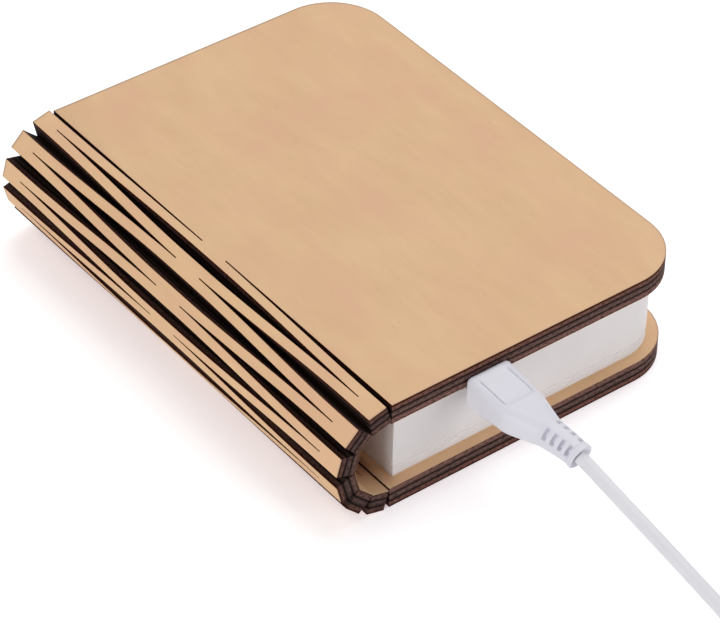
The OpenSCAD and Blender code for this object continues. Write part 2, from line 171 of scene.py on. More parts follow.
# Moulded skin: what an injection-moulded or extruded surface shows, a fine spark-eroded grain, a
# slow unevenness in its gloss, and a trace of handling in its colour.
moulded_skin, skin_in, skin_out = group_with(
    "moulded_skin", {"Where": "Vector", "Fineness": "Float"},
    {"Grain": "Float", "Gloss": "Float", "Handling": "Float"})
feed(moulded_skin, skin_out, {
    "Grain": noise_at(moulded_skin, skin_in["Where"], skin_in["Fineness"], 3, 0.6),
    "Gloss": noise_at(moulded_skin, skin_in["Where"], 260, 3, 0.55),
    "Handling": noise_at(moulded_skin, skin_in["Where"], 70, 2, 0.5)})


def moulded_finish(name, light, dark, roughness, fineness, depth):
    """A moulded plastic: two near colours, an uneven gloss and a fine raised grain."""
    finish, tree, shader = new_finish(name, roughness, 0.4)
    skin = place_group(tree, moulded_skin, Where=over_piece(tree), Fineness=fineness)
    feed(tree, shader, {
        "Base Color": two_toned(tree, skin["Handling"], dark, light),
        "Roughness": ranged(tree, skin["Gloss"], after=(roughness - 0.06, roughness + 0.08)),
        "Normal": raised(tree, skin["Grain"], 0.5, depth)})
    return finish


def ease(t):
    """A share from 0 to 1 that starts and ends gently."""
    t = max(0.0, min(1.0, t))
    return t * t * (3 - 2 * t)


lead_jacket = moulded_finish("lead_jacket", (224, 224, 228), (216, 216, 221), 0.38, 900, 0.00002)

lead_thick = 3
lead_run = [(-7.1, -87.7, 20.05), (-6.8, -93, 18.7), (-6.6, -98, 17.4), (-6.4, -103, 16.2),
            (-6.2, -109, 14.8), (-6, -115, 13.4), (-5.8, -121, 11.9), (-5.6, -127, 10.4),
            (-5.5, -133, 8.8), (-5.4, -139, 7.1), (-5.4, -145, 5.3), (-5.6, -151, 3.6),
            (-5.9, -157, 2.2), (-6.2, -163, 1.5), (-6.4, -169, 1.5)]
lead_tail = [(35.6, -172, 4.5), (35.6, -166, 4.5), (35.7, -160, 4.2), (36, -154, 4)]
coil_middle, coil_out, coil_in = (14.6, -172), 21, 12
layer_turns, climb_turns, turn_points = 3, 0.5, 24
lead_line = list(lead_run)
for step in range(int((2 * layer_turns + climb_turns) * turn_points)):
    turn = step / turn_points
    if turn < layer_turns:
        reach, rise = coil_out - (coil_out - coil_in) * turn / layer_turns, 0
    elif turn < layer_turns + climb_turns:
        reach, rise = coil_in, ease((turn - layer_turns) / climb_turns)
    else:
        out_again = turn - layer_turns - climb_turns
        reach, rise = coil_in + (coil_out - coil_in) * out_again / layer_turns, 1
    swing = pi + 2 * pi * turn
    lead_line.append((coil_middle[0] + reach * cos(swing),
                      coil_middle[1] + reach * sin(swing), lead_thick * (0.5 + rise)))
lead_line += lead_tail
lead_curve = bpy.data.curves.new("charging_lead", "CURVE")
lead_curve.dimensions = "3D"
lead_curve.bevel_depth = lead_thick / 2000
lead_curve.bevel_resolution = 6
lead_curve.resolution_u = 4
lead_curve.use_fill_caps = True
lead_spline = lead_curve.splines.new("BEZIER")
lead_spline.bezier_points.add(len(lead_line) - 1)
for knot, at in zip(lead_spline.bezier_points, lead_line):
    knot.co = Vector(at) / 1000
    knot.handle_left_type = knot.handle_right_type = "AUTO"
lead_curve.materials.append(lead_jacket)
lead = into_scene("lead_wound_up", lead_curve)
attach(lead, "charging_lead")
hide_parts("charging_cord", "cord_coil", "cord_tail")

# ------------------
# The plug's grip and relief: one moulding of soft white plastic round the steel shell. A shallow
# bare panel is sunk in its top, its neck narrows and bends towards the lead, and four slots on
# either side of the thin end let it bend. The lead leaves through a plain collar.
spine_edge_x, book_middle_y = -32.7106, 60


def in_place(x, y, z):
    """A point of the book, in millimetres from its near spine corner, in the part's metres."""
    return Vector(((x + spine_edge_x) / 1000, (y - book_middle_y) / 1000, z / 1000))


def finish_piece(name, mesh, finishes, crease=32):
    """Puts a mesh into the scene as one piece, smooth but for edges sharper than the crease."""
    for face in mesh.faces:
        face.smooth = True
    for edge in mesh.edges:
        edge.smooth = edge.is_manifold and edge.calc_face_angle(0) < radians(crease)
    shape = bpy.data.meshes.new(name)
    mesh.to_mesh(shape)
    mesh.free()
    for finish in finishes:
        shape.materials.append(finish)
    return into_scene(name, shape)


def skin_rings(mesh, rings):
    """Joins rings of points with quads, each ring to the next, and closes both ends."""
    loops = [[mesh.verts.new(point) for point in ring] for ring in rings]
    for one, other in zip(loops, loops[1:]):
        for k in range(len(one)):
            n = (k + 1) % len(one)
            mesh.faces.new((one[k], one[n], other[n], other[k]))
    mesh.faces.new(loops[0][::-1])
    mesh.faces.new(loops[-1])
    bmesh.ops.recalc_face_normals(mesh, faces=mesh.faces)


def along_run(x, z, heading, along, radius):
    """Where a straight or round run has got to, and its heading there, turned from level."""
    if not radius:
        return x + along * cos(heading), z - along * sin(heading), heading
    end = heading + along / radius
    return x + radius * (sin(end) - sin(heading)), z + radius * (cos(end) - cos(heading)), end


def moulded_section(across, high, upper, lower, count):
    """Points round a section with round corners, evenly by length, from the top's middle."""
    upper, lower = (min(r, across / 2 - 1e-4, high / 2 - 1e-4) for r in (upper, lower))
    side, half_top = (high - upper - lower, 0), (across / 2 - upper, 0)
    up_arc, low_arc = (pi / 2 * upper, upper), (pi / 2 * lower, lower)
    right = [half_top, up_arc, side, low_arc]
    runs = right + [(across - 2 * lower, 0)] + right[::-1]
    points, gone, at = [], 0, (0, high / 2, 0)
    step = sum(length for length, _ in runs) / count
    for length, radius in runs:
        while len(points) < count and len(points) * step <= gone + length:
            points.append(along_run(*at, len(points) * step - gone, radius)[:2])
        gone, at = gone + length, along_run(*at, length, radius)
    return points


def round_end(y, inward, radius, step):
    """Where each section of a rounded end lies, and how far it draws in, from the end inward."""
    turns = [radians(step * k) for k in range(90 // step + 1)]
    return [(y + inward * radius * (1 - cos(turn)), radius * (1 - sin(turn)))
            for turn in turns]


def sunk_panel(x, y, across, long, corner, depth, edge):
    """How deep a round-cornered panel is sunk at a point, from its middle, with a line round it."""
    out_x, out_y = abs(x) - across / 2 + corner, abs(y) - long / 2 + corner
    off = hypot(max(out_x, 0), max(out_y, 0)) + min(max(out_x, out_y), 0) - corner
    return depth * (0.5 * ease(0.5 - off / edge) + 0.5 * ease(1.25 - abs(off) / edge))


def bent_line(start, start_pull, end_pull, end, count):
    """Points, and directions, along a line that leaves start and reaches end as it is pulled."""
    line = []
    for k in range(count + 1):
        t = k / count
        s = 1 - t
        line.append((s ** 3 * start + 3 * s * s * t * start_pull + 3 * s * t * t * end_pull
                     + t ** 3 * end,
                     (s * s * (start_pull - start) + 2 * s * t * (end_pull - start_pull)
                      + t * t * (end - end_pull)).normalized()))
    return line


slot_deep, slot_wall, slot_floor, slot_gap = 1.2, 0.29, 0.7, 1.82
slots_turned, slot_start, right_slot_end, left_slot_end, slot_fades = 6, 18, 56, 74, (6, 8)
taper_end, collar_start, collar_rise, collar_proud = 0.82, 0.84, 0.03, 0.16
lip_start, lip_round, lip_face, lead_hole, lead_hole_deep = 0.975, 0.25, 0.9, 0.6, 0.0008


def slotted_relief(line, wide, thin, slots, first, count):
    """Rings round a bent line that thins, with cross slots on its two sides, turned a little, and
    a hollow where the lead comes out of its collar."""
    rings, gone = [], 0.0
    for k, (middle, ahead) in enumerate(line):
        if k:
            gone += (middle - line[k - 1][0]).length * 1000
        whole = k / (len(line) - 1)
        side = Vector((0, 0, 1)).cross(ahead).normalized()
        above = ahead.cross(side)
        radius = (wide + (thin - wide) * min(1, whole / taper_end)) / 2
        radius += (collar_proud * ease((whole - collar_start) / collar_rise)
                   - lip_round * ease((whole - lip_start) / (1 - lip_start)))
        cut = max(ease(1 + slot_floor - abs(gone - first - slot_gap * n) / slot_wall)
                  for n in range(slots))
        ring = []
        for n in range(count):
            turn = 2 * pi * n / count
            on_right = turn < pi
            flank = abs(degrees(turn if on_right else turn - 2 * pi) + slots_turned)
            slot_end = right_slot_end if on_right else left_slot_end
            depth = (slot_deep * cut * ease((flank - slot_start) / slot_fades[0])
                     * ease((slot_end - flank) / slot_fades[1]))
            ring.append(middle + ((radius - depth) / 1000)
                        * (sin(turn) * side + cos(turn) * above))
        rings.append(ring)
    collar, ahead = line[-1]
    return rings + [[collar + (point - collar) * share - ahead * deep for point in rings[-1]]
                    for share, deep in ((lip_face, 0), (lead_hole, lead_hole_deep))]


plug_skin = moulded_finish("plug_skin", (220, 219, 227), (215, 214, 223), 0.46, 1500, 0.00003)

socket_x, socket_z, neck_lift, relief_shift = 23.85, 20.5075, 0.8, 0.5
grip_across, grip_taper, neck_across, ring_points = 11.0, 0.2, 6.6, 320
grip_rear, grip_front, neck_front, grip_round, shoulder = -0.3, -10.4, -19.5, 0.85, 0.3
grip_step, grip_steps, neck_steps, relief_steps = 0.11, 84, 30, 84
grip_top, top_drops, grip_foot, foot_rises = 4.7, (0.5, 0.1), -3.85, (1.1, 0.25)
top_corner, front_top_corner, foot_corner, least_corner = 1.3, 2.5, 2.4, 0.4
panel_y, panel_size, panel_corner, panel_deep, panel_edge = -6.1, (7.3, 9.6), 1.2, 0.46, 0.2
panel_rear, panel_rear_fade, panel_front, panel_front_fade = -1.2, 2, -12.5, 3.5
relief_thin, relief_slots, first_slot = 5.7, 4, 0.95
grip_stations = round_end(grip_rear, -1, grip_round, 18)
grip_stations += [(grip_rear - grip_round - grip_step * k, 0) for k in range(1, grip_steps)]
grip_stations += [(grip_front + (neck_front - grip_front) * k / neck_steps, 0)
                  for k in range(neck_steps + 1)]
grip_rings = []
for y, shy in grip_stations:
    part = max(0.0, (grip_front - y) / (grip_front - neck_front))
    narrow = (part * part / (2 * shoulder) if part < shoulder else part - shoulder / 2) / (
        1 - shoulder / 2)
    along = min(1, (grip_rear - y) / (grip_rear - grip_front))
    across = grip_across - grip_taper * along + (neck_across + grip_taper - grip_across) * narrow
    top = grip_top - top_drops[0] * along - top_drops[1] * narrow
    foot = grip_foot + foot_rises[0] * along + foot_rises[1] * narrow
    upper = max(least_corner, top_corner + (front_top_corner - top_corner) * along
                + (neck_across / 2 - front_top_corner) * narrow - shy)
    lower = max(least_corner, foot_corner + (neck_across / 2 - foot_corner) * narrow - shy)
    deep = (panel_deep * ease((panel_rear - y) / panel_rear_fade)
            * ease((y - panel_front) / panel_front_fade))
    ring = []
    for x, z in moulded_section(across - 2 * shy, top - foot - 2 * shy, upper, lower, ring_points):
        if z > 0:
            z -= sunk_panel(x, y - panel_y, *panel_size, panel_corner, deep, panel_edge)
        ring.append(in_place(socket_x + relief_shift * part ** 1.5 + x, y,
                             socket_z + (top + foot) / 2 + z))
    grip_rings.append(ring)
relief_start = in_place(socket_x + relief_shift, neck_front, socket_z + neck_lift)
relief_end, relief_way = Vector(lead_run[0]) / 1000, Vector((0.06, -0.96, -0.24))
first_pull, last_pull = Vector((0.00028, -0.0028, -0.0001)), 0.0028 * relief_way
grip_rings += slotted_relief(
    bent_line(relief_start, relief_start + first_pull, relief_end - last_pull, relief_end,
              relief_steps),
    neck_across, relief_thin, relief_slots, first_slot, ring_points)[1:]
grip_shape = bmesh.new()
skin_rings(grip_shape, grip_rings)
grip = finish_piece("plug_moulding", grip_shape, [plug_skin], 50)
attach(grip, "charging_lead")
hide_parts("plug_grip", "plug_relief")

# ------------------
# The far end of the lead: a flat rectangular plug, moulded like the other, round a folded steel
# shell with two spring windows and a white insulator.
far_x, far_y, far_z = lead_tail[-1]
far_relief, far_long, far_across, far_high = 8, 24, 15.6, 8
far_rear_round, far_front_round, far_step, far_steps, far_points = 1.6, 0.8, 0.22, 95, 216
far_top_corner, far_foot_corner, far_least_corner = 1.8, 2.4, 0.6
far_panel, far_panel_corner, far_panel_deep, far_panel_edge = (10.4, 17), 1.6, 0.3, 0.36
far_root_across, far_thin, far_slots, far_first_slot = 6.6, 4.4, 3, 2.0
far_overlap, far_relief_steps, far_relief_points = 0.4, 90, 96
far_stations = round_end(far_relief, 1, far_rear_round, 15)
far_stations += [(far_relief + far_rear_round + far_step * k, 0) for k in range(1, far_steps)]
far_stations += round_end(far_relief + far_long, -1, far_front_round, 15)[::-1]
far_rings = []
for y, shy in far_stations:
    ring = []
    for x, z in moulded_section(far_across - 2 * shy, far_high - 2 * shy,
                                max(far_least_corner, far_top_corner - shy),
                                max(far_least_corner, far_foot_corner - shy), far_points):
        if z > 0:
            z -= sunk_panel(x, y - far_relief - far_long / 2, *far_panel, far_panel_corner,
                            far_panel_deep, far_panel_edge)
        ring.append(Vector((far_x + x, far_y + y, far_z + z)) / 1000)
    far_rings.append(ring)
far_shape = bmesh.new()
skin_rings(far_shape, far_rings)
far_end = Vector((far_x, far_y, far_z)) / 1000
far_root = Vector((far_x, far_y + far_relief + far_overlap, far_z)) / 1000
far_pull = Vector((0, 0.003, 0))
skin_rings(far_shape, slotted_relief(
    bent_line(far_root, far_root - far_pull, far_end + far_pull, far_end, far_relief_steps),
    far_root_across, far_thin, far_slots, far_first_slot, far_relief_points))
far_grip = finish_piece("far_plug_moulding", far_shape, [plug_skin], 50)
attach(far_grip, "charging_lead")
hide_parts("usb_a_grip")

# ------------------
# The plug's shell: a folded steel sleeve that slides into the lamp's socket. It is plated, with
# fine drawn lines along it.


def node_finish(finish, *nodes):
    """Gives the carried solids of these nodes a finish."""
    for node in nodes:
        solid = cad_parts[node]
        solid.data.materials.clear()
        solid.data.materials.append(finish)


def stretched(tree, where, stretch, shift=(0, 0, 0)):
    """Coordinates that draw a pattern out along the piece, and lay it elsewhere."""
    return add_node(tree, "Mapping", {"Vector": where, "Scale": stretch,
                                      "Location": shift}).outputs["Vector"]


# Drawn lines: the fine marks that rolling and drawing leave on metal, in its long direction.
drawn_lines, lines_in, lines_out = group_with(
    "drawn_lines", {"Where": "Vector", "Stretch": "Vector"}, {"Lines": "Float"})
feed(drawn_lines, lines_out, {
    "Lines": noise_at(drawn_lines, stretched(drawn_lines, lines_in["Where"], lines_in["Stretch"]),
                      1, 3, 0.6)})


def plated_finish(name, light, dark, roughness, stretch):
    """A plated metal: two near colours and fine lines in the direction it was drawn."""
    finish, tree, shader = new_finish(name, roughness)
    lines = place_group(tree, drawn_lines, Where=over_piece(tree), Stretch=stretch)["Lines"]
    feed(tree, shader, {
        "Metallic": 1,
        "Base Color": two_toned(tree, lines, dark, light),
        "Roughness": ranged(tree, lines, after=(roughness - 0.08, roughness + 0.1)),
        "Normal": raised(tree, lines, 0.4, 0.00001)})
    return finish


shell_plating = plated_finish("shell_plating", (214, 214, 216), (186, 187, 190), 0.3,
                              (3500, 160, 3500))
node_finish(shell_plating, "plug_shell", "usb_a_shell")
node_finish(moulded_finish("contact_carrier", (238, 238, 236), (228, 228, 226), 0.42, 1800,
                           0.00001), "usb_a_tongue")

# ------------------
# The covers: two boards of birch plywood with round fore-edge corners, cut with the spine from
# one sheet by laser. The veneer's grain runs along the spine, and the cut edges are burnt dark,
# with the glue lines between the plies darker still.
board_t, cover_w, cover_h, corner_r, cover_under, edge_ease = 4.9, 79.2, 120, 14, 22.4075, 0.08
corner_steps, burnt_share = 24, 0.93
hinges, strip_w, kerf_w, bridge_near, bridge_far = 12, 2.15, 0.25, 55.85, 64.15
flat_spine = hinges * strip_w + (hinges + 1) * kerf_w


def over_board(tree):
    """Places on a flat board or sheet by its own map, in centimetres."""
    return add_node(tree, "UVMap", {}, uv_map="board").outputs["UV"]


def arithmetic(tree, operation, one, other, clamp=False):
    """Two values added or multiplied."""
    return add_node(tree, "Math", {0: one, 1: other}, operation=operation,
                    use_clamp=clamp).outputs["Value"]


def vector_step(tree, operation, vector, other=(0, 0, 0)):
    """One step of reckoning with coordinates: a new place, or how far away it is."""
    step = add_node(tree, "VectorMath", {0: vector, 1: other}, operation=operation)
    return step.outputs["Value" if operation == "LENGTH" else "Vector"]


def mixed(tree, one, other, amount, blend="MIX"):
    """One colour mixed with another, or multiplied by it, by the amount."""
    return add_node(tree, "Mix", {"A": one, "B": other, "Factor": amount}, data_type="RGBA",
                    blend_type=blend).outputs["Result"]


# Veneer: long pores and fibres, a slow figure of paler and pinker wood across the sheet, and the
# short dark flecks of its rays.
veneer_grain, grain_in, grain_out = group_with(
    "veneer_grain", {"Where": "Vector", "Fibres": "Float"},
    {"Fibre": "Float", "Figure": "Float", "Blush": "Float", "Fleck": "Float"})
veneer_shift = (18.5, 6.5, 0)
for output, stretch, shift, detail in (
        ("Fibre", (1, 0.045, 1), veneer_shift, 4), ("Figure", (0.035, 0.011, 1), (22.2, 7.8, 0), 3),
        ("Blush", (0.02, 0.012, 1), veneer_shift, 2), ("Fleck", (0.42, 0.1, 1), veneer_shift, 2)):
    pattern = noise_at(veneer_grain, stretched(veneer_grain, grain_in["Where"], stretch, shift),
                       grain_in["Fibres"], detail, 0.6)
    if output == "Fleck":
        pattern = ranged(veneer_grain, pattern, (0.68, 0.78))
    feed(veneer_grain, grain_out, {output: pattern})

# The laser's marks on the veneer, and painted shade: a brown darkening about the slits, partly the
# smoke that the laser leaves there, which the clean outer faces don't keep, and partly painted
# shade for the hollow of the bent spine. It fades out near the ends, where the slits stop and light
# reaches in. And a thin singed line along the outline, wider at the far end. All is in centimetres.
laser_marks, marks_in, marks_out = group_with("laser_marks", {"Where": "Vector"},
                                              {"SmokeAndShade": "Float", "Singed": "Float"})
singe_wide, singe_shift, corner = 0.07, 0.02, corner_r / 10
smoke_shade_across, smoke_shade_along = (1.68, 1.46), (5.8, 5.1)
sheet_middle = (-flat_spine / 20, cover_h / 20 - singe_shift, 0)
straight_half = ((cover_w + flat_spine / 2) / 10 - corner, cover_h / 20 - corner, 0)
off_middle = vector_step(laser_marks, "ABSOLUTE", vector_step(
    laser_marks, "SUBTRACT", marks_in["Where"], sheet_middle))
past_straight = vector_step(laser_marks, "MAXIMUM", vector_step(
    laser_marks, "SUBTRACT", off_middle, straight_half))
to_outline = vector_step(laser_marks, "LENGTH", past_straight)
off_axes = add_node(laser_marks, "SeparateXYZ", {"Vector": off_middle}).outputs
feed(laser_marks, marks_out, {
    "SmokeAndShade": arithmetic(laser_marks, "MULTIPLY",
                         ranged(laser_marks, off_axes["X"], smoke_shade_across, steps="SMOOTHSTEP"),
                         ranged(laser_marks, off_axes["Y"], smoke_shade_along, steps="SMOOTHSTEP")),
    "Singed": ranged(laser_marks, to_outline, (corner - singe_wide, corner), steps="SMOOTHSTEP")})

birch_pale, birch_warm, birch_pink, birch_fleck = (
    paint(*tone) for tone in ((224, 186, 145), (217, 178, 138), (220, 176, 142), (188, 144, 108)))
pore_tone, fibre_tone = (0.985, 0.978, 0.968, 1), (1.01, 1.01, 1.01, 1)
# The brown darkening inside the spine is partly smoke and partly painted shade.
singe_tone, no_smoke, smoke_and_shade_tone = (0.66, 0.68, 0.77, 1), (1, 1, 1, 1), (0.5, 0.37, 0.34, 1)


def veneer_finish(name, smoke_and_shade):
    """Sanded birch, with its grain along the second direction of the board's map, darkened about
    the slits by the laser's smoke and by painted shade.
    """
    finish, tree, shader = new_finish(name, 0.62, 0.25)
    board = over_board(tree)
    grain = place_group(tree, veneer_grain, Where=board, Fibres=34)
    marks = place_group(tree, laser_marks, Where=board)
    colour = ramp_over(tree, grain["Figure"], [(0.34, birch_warm), (0.62, birch_pale)])
    colour = mixed(tree, colour, birch_pink, ranged(tree, grain["Blush"], (0.46, 0.66), (0, 0.75)))
    pores = ramp_over(tree, grain["Fibre"], [(0.3, pore_tone), (0.62, fibre_tone)])
    colour = mixed(tree, colour, pores, 1, "MULTIPLY")
    colour = mixed(tree, colour, birch_fleck, arithmetic(tree, "MULTIPLY", grain["Fleck"], 0.4))
    # Smoke and painted shade about the slits, inside the spine.
    colour = mixed(tree, colour, smoke_and_shade, marks["SmokeAndShade"], "MULTIPLY")
    feed(tree, shader, {
        "Base Color": mixed(tree, colour, singe_tone, marks["Singed"], "MULTIPLY"),
        "Roughness": ranged(tree, grain["Fibre"], after=(0.54, 0.7)),
        "Normal": raised(tree, grain["Fibre"], 0.3, 0.00002)})
    return finish


birch_veneer = veneer_finish("birch_veneer", no_smoke)
# The inner faces: the laser's smoke, darkened further as painted shade inside the bent spine.
smoked_shaded_veneer = veneer_finish("smoked_shaded_veneer", smoke_and_shade_tone)

# Charring: how deep a place lies in the plies, with a waver along the cut, and the cut's streaks.
charring, char_in, char_out = group_with("charring", {"Where": "Vector"},
                                         {"Depth": "Float", "Streaks": "Float"})
waver = noise_at(charring, stretched(charring, char_in["Where"], (0.16, 0.3, 1)), 14, 4, 0.7)
char_axes = add_node(charring, "SeparateXYZ", {"Vector": char_in["Where"]}).outputs
feed(charring, char_out, {
    "Depth": arithmetic(charring, "ADD", ranged(charring, waver, after=(-0.022, 0.022)),
                        char_axes["Y"]),
    "Streaks": noise_at(charring, stretched(charring, char_in["Where"], (0.5, 0.75, 1)),
                        20, 3, 0.7)})
charred_rim = ((0.01, (88, 43, 25)), (0.045, (57, 23, 13)))
charred_plies = ((0.08, (40, 18, 13)), (0.105, (116, 76, 66)), (0.19, (122, 86, 78)),
                 (0.275, (98, 67, 59)), (0.295, (22, 11, 9)), (0.355, (24, 12, 10)),
                 (0.38, (80, 59, 55)), (0.5, (108, 86, 81)), (0.6, (94, 71, 66)),
                 (0.62, (24, 13, 11)), (0.675, (24, 13, 11)), (0.7, (104, 76, 70)),
                 (0.84, (130, 97, 89)), (0.925, (110, 78, 70)), (0.95, (50, 29, 24)),
                 (0.975, (180, 134, 98)))


def burnt_finish(name, soot_and_shade, ash):
    """A laser's cut across the plies: they char to a red brown or a grey brown, and the glue
    between them to near black, in streaks along the cut. A darker copy goes in the slits, for soot
    and painted shade, and another on the spine's ends, for painted shade."""
    finish, tree, shader = new_finish(name, 0.75, 0.06)
    char = place_group(tree, charring, Where=over_board(tree))
    plies = ramp_over(tree, char["Depth"], [(at, paint(*colour)) for at, colour in charred_rim] + [
        (at, paint(*(soot_and_shade * c for c in colour))) for at, colour in charred_plies])
    streaked = ramp_over(tree, char["Streaks"], [
        (0.33, (0.16, 0.13, 0.13, 1)), (0.46, (0.7, 0.66, 0.65, 1)),
        (0.6, (ash, 1.01 * ash, 1.01 * ash, 1))])
    feed(tree, shader, {"Base Color": mixed(tree, plies, streaked, 1, "MULTIPLY"),
                        "Normal": raised(tree, char["Streaks"], 0.6, 0.00004)})
    return finish


burnt_edge = burnt_finish("burnt_edge", 1, 1.22)
# The spine's ends: a darker copy of the burnt cut, as painted shade.
shaded_burnt_end = burnt_finish("shaded_burnt_end", 0.8, 1.22)
# The walls inside the slits: darker still, partly soot and partly painted shade.
sooty_shaded_slit = burnt_finish("sooty_shaded_slit", 0.62, 1.2)


def board_layer(mesh):
    """The mesh's flat map, on which the grain and the plies are laid."""
    return mesh.loops.layers.uv.get("board") or mesh.loops.layers.uv.new("board")


def mapped_face(mesh, corners, finish, places):
    """A face with one of the piece's finishes, its corners at their places on the flat map."""
    board_map = board_layer(mesh)
    face = mesh.faces.new(corners)
    face.material_index = finish
    for loop, place in zip(face.loops, places):
        loop[board_map].uv = place


def eased_outline(outline, eases):
    """The outline drawn in along each edge by that edge's own amount."""
    ways = [((bx - ax) / dist((ax, ay), (bx, by)), (by - ay) / dist((ax, ay), (bx, by)))
            for (ax, ay), (bx, by) in zip(outline, outline[1:] + outline[:1])]
    drawn = []
    for k, (x, y) in enumerate(outline):
        (ux, uy), (vx, vy), before, after = ways[k - 1], ways[k], eases[k - 1], eases[k]
        along = (before * (ux * vx + uy * vy) - after) / (ux * vy - uy * vx)
        drawn.append((x - uy * before + ux * along, y + ux * before + uy * along))
    return drawn


def cut_board(mesh, outline, eases, sooty, bare, lift, u_of):
    """A flat board: veneer on both sides, and one burnt wall round its outline, whose innermost
    hair is bare wood or burnt as well."""
    half, wall_share = board_t / 2, 1 if bare else burnt_share
    drawn = eased_outline(outline, eases)
    levels = [(drawn, half), (outline, half - edge_ease), (outline, edge_ease - half),
              (drawn, -half)]
    rows = [[mesh.verts.new(lift(a, y, d)) for a, y in points] for points, d in levels]
    gone = [0.0]
    for k in range(len(outline)):
        n = (k + 1) % len(outline)
        gone.append(gone[-1] + dist(outline[k], outline[n]))
    for row, order, veneer in ((rows[0], 1, 0), (rows[3], -1, 3)):
        mapped_face(mesh, row[::order], veneer, [(u_of(a) / 10, y / 10) for a, y in drawn[::order]])
    for (above, below), (high, low) in zip(zip(rows, rows[1:]), zip(levels, levels[1:])):
        for k in range(len(outline)):
            n = (k + 1) % len(outline)
            if max((above[m].co - below[m].co).length for m in (k, n)) < 1e-9:
                continue
            ends = ((k + 1, high), (k, high), (k, low), (k + 1, low))
            mapped_face(mesh, (above[n], above[k], below[k], below[n]), 2 if k in sooty else 1,
                        [(gone[m] / 10, (half - level[1]) / board_t * wall_share)
                         for m, level in ends])
    bmesh.ops.recalc_face_normals(mesh, faces=mesh.faces)


corner_turns = [radians(90 * k / corner_steps) for k in range(corner_steps + 1)]
cover_outline = [(0, 0)]
cover_outline += [(cover_w - corner_r + corner_r * sin(turn),
                   corner_r - corner_r * cos(turn)) for turn in corner_turns]
cover_outline += [(cover_w - corner_r + corner_r * cos(turn),
                   cover_h - corner_r + corner_r * sin(turn)) for turn in corner_turns]
cover_outline += [(0, cover_h), (0, bridge_far), (-kerf_w - strip_w, bridge_far),
                  (-kerf_w - strip_w, bridge_near), (0, bridge_near)]
cover_eases = [edge_ease] * len(cover_outline)
cover_eases[-4] = cover_eases[-2] = 0
spine_side = range(len(cover_outline) - 6, len(cover_outline))
board_finishes = [birch_veneer, burnt_edge, sooty_shaded_slit, smoked_shaded_veneer]
for name, node, under, outward in (("front_cover_board", "front_cover", cover_under, 1),
                                   ("back_cover_board", "back_cover", 0, -1)):
    cover_shape = bmesh.new()
    cut_board(cover_shape, cover_outline, cover_eases, spine_side, outward > 0,
              lambda a, y, d: in_place(a, y, under + board_t / 2 + outward * d),
              lambda a: a if outward > 0 else -flat_spine - a)
    cover = finish_piece(name, cover_shape, board_finishes)
    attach(cover, node)
    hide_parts(node)

# ------------------
# The slit spine: laser cuts leave twelve rows of strips that are joined in turn by the slats' ends
# and by the bridges at mid-length. Each strip twists by fifteen degrees between the two, so the
# board bends, and the thin cuts open into long lenses.
slat_w, pitch, end_land, bend_step = 4.55, 2.95, 6.3, 15
flat_pitch = strip_w + kerf_w
inner_closing, back_closing, tip_gap, tip_long, tip_share = 0.2, -0.12, 0.08, 10, 0.2
bar_shift = 17
spine_finishes = [birch_veneer, shaded_burnt_end, sooty_shaded_slit, smoked_shaded_veneer]


def board_way(j):
    """Along the board from front cover to back on segment j of the spine, and out of the book."""
    turn = radians(bend_step * j)
    return (-cos(turn), -sin(turn)), (-sin(turn), cos(turn))


hinge_lines = [(-(kerf_w + pitch) / 2, cover_under + board_t / 2)]
for j in range(1, hinges):
    (ax, az), _ = board_way(j)
    hinge_lines.append((hinge_lines[-1][0] + pitch * ax, hinge_lines[-1][1] + pitch * az))


def cut_bar(mesh, stations, lift, u_of):
    """A bar of board: at each station its length, its two sides, how far its corners draw in, and
    how much wider its two sides are inside the book, where the cuts beside it are narrower."""
    half, outer, inner, rings, marks = board_t / 2, edge_ease, edge_ease / 5, [], []
    for y, low, high, shy, less, more in stations:
        section = [(low + outer + shy, half - shy), (high - outer - shy, half - shy),
                   (high - shy, half - outer - shy), (high + more - shy, inner + shy - half),
                   (high + more - inner - shy, shy - half), (low - less + inner + shy, shy - half),
                   (low - less + shy, inner + shy - half), (low + shy, half - outer - shy)]
        rings.append([mesh.verts.new(lift(a, y, d)) for a, d in section])
        marks.append([(a, y, d) for a, d in section])
    for (one, other), (here, there) in zip(zip(rings, rings[1:]), zip(marks, marks[1:])):
        for k in range(8):
            n = (k + 1) % 8
            corners = (here[k], here[n], there[n], there[k])
            mapped_face(mesh, (one[k], one[n], other[n], other[k]), {0: 0, 4: 3}.get(k, 2), [
                (u_of(a) / 10, y / 10) if k in (0, 4)
                else ((y + bar_shift * u_of(0)) / 10, (half - d) / board_t) for a, y, d in corners])
    for ring, mark, order in ((rings[0], marks[0], -1), (rings[-1], marks[-1], 1)):
        mapped_face(mesh, ring[::order], 1, [(u_of(a) / 10, (half - d) / board_t)
                                             for a, _, d in mark[::order]])
    bmesh.ops.recalc_face_normals(mesh, faces=mesh.faces)


def closing(j):
    """How much wider segment j's pieces are inside the book: narrower beside the back cover."""
    return inner_closing if j < hinges - 2 else back_closing


spring_near = [(0, 0), (0.1, 0.2), (0, 0.3), (-0.1, 0.4), (0.1, 0.4), (0.35, 0.35), (0.4, 0.3),
               (0.4, 0.22), (0.45, 0.12), (0.45, 0), (0.4, 0), (0.12, 0), (0, 0)]
spring_far = [(0, 0), (0.35, 0.5), (0.25, 0.65), (0.1, 0.75), (0.05, 0.7), (0, 0.6), (0, 0.52),
              (0, 0.44), (0, 0.34), (0, 0.24), (0, 0.14), (0, 0.05), (0, 0)]


def spring(j, y):
    """How far the board springs out of its even bend at segment j, in x and z, y along it."""
    low = min(int(j), hinges - 1)
    near, far = ([a + (b - a) * (j - low) for a, b in zip(ends[low], ends[low + 1])]
                 for ends in (spring_near, spring_far))
    return [a + (b - a) * y / cover_h for a, b in zip(near, far)]


